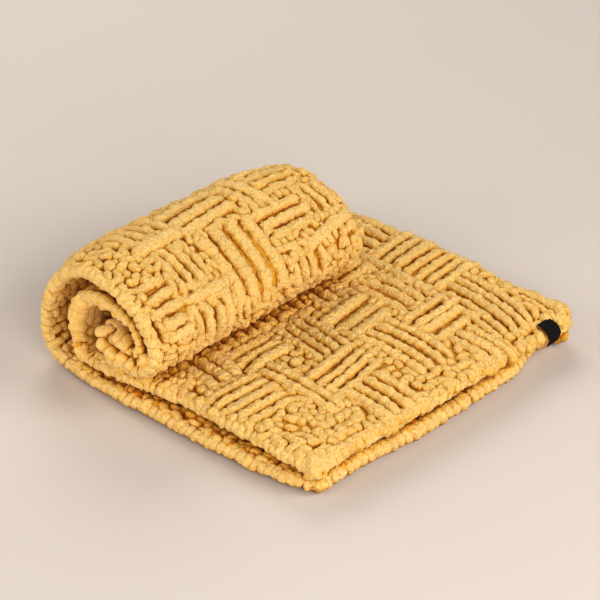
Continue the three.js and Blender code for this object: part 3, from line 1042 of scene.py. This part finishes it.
# Operators
class BLANKET_OT_top(bpy.types.Operator):
    """Knits the upper layer's bars and stitches that show on the flat"""

    bl_idname = "blanket.top"
    bl_label = "Top"

    def execute(self, context):
        blocks = chart_blocks(TOP_CHART)
        knit_bars("top_bars_yarn", "upper", 1.0, blocks, FINE, 0)
        low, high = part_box("label")
        under_label = {
            "a0": -LABEL_CLEAR,
            "a1": context.scene.blanket_label.above + LABEL_CLEAR,
            "y0": low.y / MM - SEAT[1] - LABEL_CLEAR,
            "y1": high.y / MM - SEAT[1] + LABEL_CLEAR,
        }
        taken, span = [*blocks, under_label], (FLAT_START, FLAT_END)
        knit_stitches("top_stitches_yarn", "upper", 1.0, taken, span, "all", FLAT_STITCH, EVEN, 1)
        return {"FINISHED"}


class BLANKET_OT_roll(bpy.types.Operator):
    """Knits the bars and stitches on the outside of the roll"""

    bl_idname = "blanket.roll"
    bl_label = "Roll"

    def execute(self, context):
        blocks = chart_blocks(ROLL_CHART)
        outside, back, tuck = (ROLL_START, ROLL_END), (FLAT_END, ROLL_START), (ROLL_END, TUCK_END)
        knit_bars("roll_bars_yarn", "lower", 1.0, blocks, FINE, 2)
        knit_stitches("roll_stitches_yarn", "lower", 1.0, blocks, outside, "all", ROLL_STITCH, EVEN, 3)
        knit_stitches("back_fold_yarn", "lower", 1.0, (), back, "fold", ROLL_STITCH, EVEN, 5)
        knit_lobes("tight_fold_yarn", "lower", TIGHT_LOBES, EVEN, 7)
        knit_stitches("tuck_fold_yarn", "lower", 1.0, (), tuck, "fold", ROLL_STITCH, COARSE, 6)
        knit_bars("roll_back_yarn", "lower", 1.0, plain_blocks("lower", FLOOR_END, ROLL_START), EVEN, 4)
        return {"FINISHED"}


class BLANKET_OT_hidden(bpy.types.Operator):
    """Knits the faces that lie on the floor, inside the roll and between the layers"""

    bl_idname = "blanket.hidden"
    bl_label = "Hidden faces"

    def execute(self, context):
        for k, (name, layer, start, end, past) in enumerate(PLAIN_FACES):
            knit_bars(name, layer, 1.0, plain_blocks(layer, start, end, past), COARSE, PLAIN_SEED + k)
        for face in INNER_FACES:
            knit_stitches(*face)
        return {"FINISHED"}


class BLANKET_OT_edges(bpy.types.Operator):
    """Finishes the cloth's selvedges and ends with loops, or lobes where the folds press an end tight"""

    bl_idname = "blanket.edges"
    bl_label = "Edges"

    def execute(self, context):
        yarn = context.scene.blanket_yarn
        draw = np.random.default_rng(yarn.seed + EDGE_SEED)
        for layer in ("lower", "upper"):
            self.selvedges(Weave(layer, 1.0, yarn, EVEN), draw)
            self.end(Weave(layer, 1.0, yarn, RIM), draw)
        return {"FINISHED"}

    def selvedges(self, loops, draw):
        """Loops along both of a layer's selvedges, and one at its open corner."""
        layer = loops.layer
        high = FOLD_LINE + (FOLD_LENGTH if layer == "upper" else 0.0)
        corner = END_LINE[layer][0]
        along = corner + LOOP_START
        while along < high:
            inset = self.round_corner(along - corner)
            closer = FOLD_CLOSER if along > FOLD_LINE else 1.0
            loop = self.fuller(SELVEDGE_LOOP, layer, along - corner, FOLD_FULLNESS, along)
            loop["crowding"] = closer * loop["crowding"]
            self.add_loop(loops, (inset, along), (1.0, 0.0), loop, draw)
            self.add_loop(loops, (CLOTH_WIDTH - inset, along), (-1.0, 0.0), SELVEDGE_LOOP, draw)
            along += closer * SELVEDGE_LOOP["pitch"]
        halfway = math.sqrt(0.5)
        diagonal = CORNER_ROUND * (1.0 - halfway)
        loop = CORNER_LOOP if layer == "upper" else SELVEDGE_LOOP
        self.add_loop(loops, (diagonal, corner + diagonal), (halfway, halfway), loop, draw)
        loops.finish(f"{layer}_selvedge")

    def end(self, loops, draw):
        """Loops along a layer's end, or lobes where it is too tight for them."""
        layer = loops.layer
        across = END_LOOP["pitch"]
        while across < CLOTH_WIDTH - LOOP_STOP:
            end = float(read_line(END_LINE, layer, np.array(across)))
            tight, middle = self.squeeze(layer, across, end)
            if tight < LOBE["below"]:
                size = LOBE["size"] * float(half_thickness(layer, np.array(across)))
                for row in range(LOBE["rows"]):
                    shifted = across + 0.5 * (row % 2) * LOBE["pitch"] / middle
                    loops.add_lobe(shifted, end + size + row * LOBE["spacing"], size, draw.random())
                across += LOBE["pitch"] / middle
                continue
            end += self.round_corner(min(across, CLOTH_WIDTH - across))
            loop = self.fuller(END_LOOP, layer, across, TUCK_FULLNESS, across)
            room = min(1.0, max(LOOP_ROOM, tight))
            loop["crowding"] = loop["crowding"] / room
            self.add_loop(loops, (across, end), (0.0, 1.0), loop, draw)
            across += END_LOOP["pitch"] / room
        loops.finish(f"{layer}_end")

    @staticmethod
    def fuller(loop, layer, from_corner, further, place):
        """A loop made larger towards the upper layer's open corner and at one place further on."""
        if layer == "lower":
            return dict(loop)
        near = float(1.0 - smooth(0.0, CORNER_FULLNESS["reach"], from_corner))
        full = 1.0 + CORNER_FULLNESS["share"] * near
        full += further["share"] * float(smooth(further["start"], further["end"], place))
        return {**loop, "thickness": full * loop["thickness"], "height": full * loop["height"]}

    @staticmethod
    def squeeze(layer, across, along):
        """How far the folds press the cloth's tighter face and its middle, as shares of their flat width."""
        reach, face = SQUEEZE["reach"], SQUEEZE["face"] * HALF_LAYER
        pair = np.array([across - reach, across + reach])
        widths = []
        for height in (-face, face, 0.0):
            ends = fold(layer, pair, np.full(2, along), np.full(2, height))
            widths.append(float(np.linalg.norm(ends[1] - ends[0])) / (2.0 * reach))
        return min(widths[:2]), max(SQUEEZE["least"], widths[2])

    @staticmethod
    def round_corner(distance):
        """How far the edge is drawn in at a distance from the cloth's corner."""
        share = min(1.0, max(0.0, 1.0 - distance / CORNER_ROUND))
        return CORNER_ROUND * (1.0 - math.sqrt(1.0 - share * share))

    @staticmethod
    def add_loop(weave, edge, inward, loop, draw):
        """One loop of yarn round the cloth's edge, from one face to the other."""
        turn = np.linspace(-0.5 * math.pi, 0.5 * math.pi, LOOP_FORM["turn_rings"])
        thick = 0.5 * loop["thickness"] * (1.0 + draw.normal(0.0, LOOP_FORM["spread"]))
        reach = thick + abs(draw.normal(0.0, LOOP_FORM["inset"]))
        past_turn = np.linspace(loop["leg"], LOOP_FORM["leg_start"], LOOP_FORM["leg_rings"])
        legs = reach + loop["turn"] + past_turn
        from_edge = np.concatenate([legs, reach + loop["turn"] * (1.0 - np.cos(turn)), legs[::-1]])
        rise = 0.5 * loop["height"] - thick
        face = np.full(len(legs), rise)
        height = np.concatenate([-face, rise * np.sin(turn), face])
        if weave.layer == "upper":
            height = height - LOOP_HANG
        share = np.linspace(-1.0, 1.0, len(height))
        slant = loop["slant"] * share + draw.normal(0.0, LOOP_FORM["wander"])
        across = edge[0] + inward[0] * from_edge + abs(inward[1]) * slant
        along = edge[1] + inward[1] * from_edge + abs(inward[0]) * slant
        centre = np.stack([across, along, height], axis=-1)
        lateral = np.tile(np.array([inward[1], -inward[0], 0.0]), (len(height), 1))
        tapered = thick * np.sqrt(np.clip(1.0 - np.abs(share) ** LOOP_FORM["taper"], LOOP_FORM["tip"], 1.0))
        weave.add(centre, lateral, loop["crowding"] * tapered, tapered, 0.0 * share, draw.random())


class BLANKET_OT_cloth(bpy.types.Operator):
    bl_idname = "blanket.cloth"
    bl_label = "Cloth"

    def execute(self, context):
        ground = self.ground()
        dress(ground, yarn_material())
        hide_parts("blanket")
        return {"FINISHED"}

    @staticmethod
    def ground():
        """A closed sheet through the middle of the knitting."""
        margin, step = GROUND["margin"], GROUND["step"]
        across = np.linspace(margin, CLOTH_WIDTH - margin, round(CLOTH_WIDTH / step))
        share = np.linspace(0.0, 1.0, round(FOLD_LINE / step))
        skins = []
        for side in (1.0, -1.0):
            rows = []
            for layer, ease in (("lower", share), ("upper", share[::-1])):
                a, s = np.meshgrid(across, ease, indexing="ij")
                end = read_line(END_LINE, layer, a) + margin
                along = end + s * (bend_start(a) + FOLD_LENGTH / 2 - end)
                from_edge = np.minimum(along - end, np.minimum(a, CLOTH_WIDTH - a))
                eased = smooth(0.0, GROUND["reach"], from_edge)
                thick = GROUND["edge"] + (GROUND["half"] - GROUND["edge"]) * eased
                lift = swell(a, along) if layer == "lower" and side > 0.0 else 0.0
                rows.append(fold(layer, a, along, side * thick + lift))
            skins.append(np.concatenate(rows, axis=1))
        points = np.concatenate([skin.reshape(-1, 3) for skin in skins])
        lumps = [grain(points, GROUND["lump_size"], seed) for seed in GROUND_SEEDS]
        points = points + GROUND["lump"] * np.stack(lumps, axis=-1)
        points[:, 2] = np.maximum(points[:, 2], GROUND_CLEAR)
        quads = sheet_faces(*skins[0].shape[:2])[:, ::-1]
        piece = mesh_piece("cloth_ground", (points + SEAT) * MM, quads)
        # Painted shade: the ground takes a full root value and a low tint, so the gaps between the yarns look
        # shaded.
        mark(piece, {label: np.full(len(points), value) for label, value in GROUND_LOOK.items()})
        return piece


class BLANKET_OT_label(bpy.types.Operator):
    """Folds the bare label over the upper layer's selvedge"""

    bl_idname = "blanket.label"
    bl_label = "Label"

    def execute(self, context):
        look = context.scene.blanket_label
        low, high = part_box("label")
        middle = 0.5 * (low.y + high.y) / MM - SEAT[1]
        turn = np.linspace(0.5 * math.pi, 0.0, LABEL_STEPS["turn"] + 1)
        over = np.linspace(look.above, LABEL_BEND, LABEL_STEPS["over"] + 1)[:-1]
        hang = np.linspace(0.0, -look.hang, LABEL_STEPS["hang"] + 1)[1:]
        top, side = np.ones(len(over)), np.ones(len(hang))
        bend = LABEL_BEND - (LABEL_BEND + LABEL_OUT) * np.cos(turn)
        across = np.concatenate([over, bend, -LABEL_OUT * side])
        height = np.concatenate([LABEL_TOP * top, LABEL_TOP * np.sin(turn), hang])
        out_across = np.concatenate([0.0 * top, -np.cos(turn), -side])
        out_height = np.concatenate([top, np.sin(turn), 0.0 * side])
        along = np.linspace(-0.5, 0.5, LABEL_STEPS["width"] + 1) * look.width + middle
        skins = []
        for skin in (0.0, look.thickness):
            a, y = np.meshgrid(across + out_across * skin, along, indexing="ij")
            h = np.repeat((height + out_height * skin)[:, None], len(along), axis=1)
            skins.append(fold("upper", a, y, h).reshape(-1, 3))
        points = (np.concatenate(skins) + SEAT) * MM
        piece = mesh_piece("label_tape", points, sheet_faces(len(across), len(along)))
        dress(piece, tape_material())
        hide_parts("label")
        return {"FINISHED"}


class BLANKET_OT_stage(bpy.types.Operator):
    """Sets the floor, the soft light and the camera"""

    bl_idname = "blanket.stage"
    bl_label = "Stage"

    def execute(self, context):
        look = context.scene.blanket_stage
        self.floor()
        self.light(look)
        self.camera(look)
        context.scene.view_settings.view_transform = "Standard"
        context.scene.view_settings.look = "Medium High Contrast"
        return {"FINISHED"}

    @staticmethod
    def floor():
        """A wide pale floor."""
        mesh = bpy.data.meshes.new("floor")
        half = FLOOR_HALF
        corners = [(-half, -half, 0.0), (half, -half, 0.0), (half, half, 0.0), (-half, half, 0.0)]
        mesh.from_pydata(corners, [], [(0, 1, 2, 3)])
        floor = bpy.data.objects.new("floor", mesh)
        bpy.context.scene.collection.objects.link(floor)
        mesh.materials.append(floor_material())

    @staticmethod
    def light(look):
        """Large soft lights round the blanket, and a little light from everywhere."""
        for name, power, place in LAMPS:
            light = bpy.data.lights.new(name, "AREA")
            light.shape = "DISK"
            light.size = LAMP_SIZE
            light.energy = look.light * power
            light.color = LAMP_COLOUR
            lamp = bpy.data.objects.new(name, light)
            lamp.location = place
            lamp.rotation_euler = (-lamp.location).to_track_quat("-Z", "Y").to_euler()
            bpy.context.scene.collection.objects.link(lamp)
        world = bpy.data.worlds.new("soft_room")
        bpy.context.scene.world = world
        world.use_nodes = True
        room = world.node_tree.nodes["Background"]
        room.inputs["Color"].default_value = ROOM_COLOUR
        room.inputs["Strength"].default_value = look.ambient

    @staticmethod
    def camera(look):
        """The camera at the photograph's viewing angle."""
        target = Vector(SEAT + CAMERA_TARGET) * MM
        azimuth, elevation = math.radians(look.azimuth), math.radians(look.elevation)
        back = Vector((math.sin(azimuth), -math.cos(azimuth), 0.0)) * math.cos(elevation)
        back.z = math.sin(elevation)
        lens = bpy.data.cameras.new("camera")
        lens.lens = look.lens
        lens.sensor_width = SENSOR_WIDTH
        camera = bpy.data.objects.new("camera", lens)
        camera.location = target + back * look.distance
        camera.rotation_euler = (-back).to_track_quat("-Z", "Y").to_euler()
        bpy.context.scene.collection.objects.link(camera)
        bpy.context.scene.camera = camera


class BLANKET_PT_panel(bpy.types.Panel):
    """Lists the blanket's pieces and settings"""

    bl_idname = "BLANKET_PT_panel"
    bl_label = "Basketweave blanket"
    bl_space_type = "VIEW_3D"
    bl_region_type = "UI"
    bl_category = "Blanket"

    def draw(self, context):
        for operator in OPERATORS:
            self.layout.operator(operator.bl_idname)
        for group in GROUPS:
            settings = getattr(context.scene, group)
            for name in settings.bl_rna.properties.keys():
                if name not in ("rna_type", "name"):
                    self.layout.prop(settings, name)


OPERATORS = (
    BLANKET_OT_top,
    BLANKET_OT_roll,
    BLANKET_OT_hidden,
    BLANKET_OT_edges,
    BLANKET_OT_cloth,
    BLANKET_OT_label,
    BLANKET_OT_stage,
)
GROUPS = {"blanket_yarn": YarnLook, "blanket_label": LabelLook, "blanket_stage": StageLook}


def register():
    """Registers the settings, the operators and the panel."""
    for name, group in GROUPS.items():
        bpy.utils.register_class(group)
        setattr(bpy.types.Scene, name, PointerProperty(type=group))
    for made in (*OPERATORS, BLANKET_PT_panel):
        bpy.utils.register_class(made)


def unregister():
    """Takes them away again."""
    for made in (BLANKET_PT_panel, *reversed(OPERATORS)):
        bpy.utils.unregister_class(made)
    for name, group in GROUPS.items():
        delattr(bpy.types.Scene, name)
        bpy.utils.unregister_class(group)


def main():
    """Builds every piece in order."""
    register()
    bpy.ops.blanket.top()
    bpy.ops.blanket.roll()
    bpy.ops.blanket.hidden()
    bpy.ops.blanket.edges()
    bpy.ops.blanket.cloth()
    bpy.ops.blanket.label()
    bpy.ops.blanket.stage()
    bpy.context.view_layer.update()


if __name__ == "__main__":
    main()
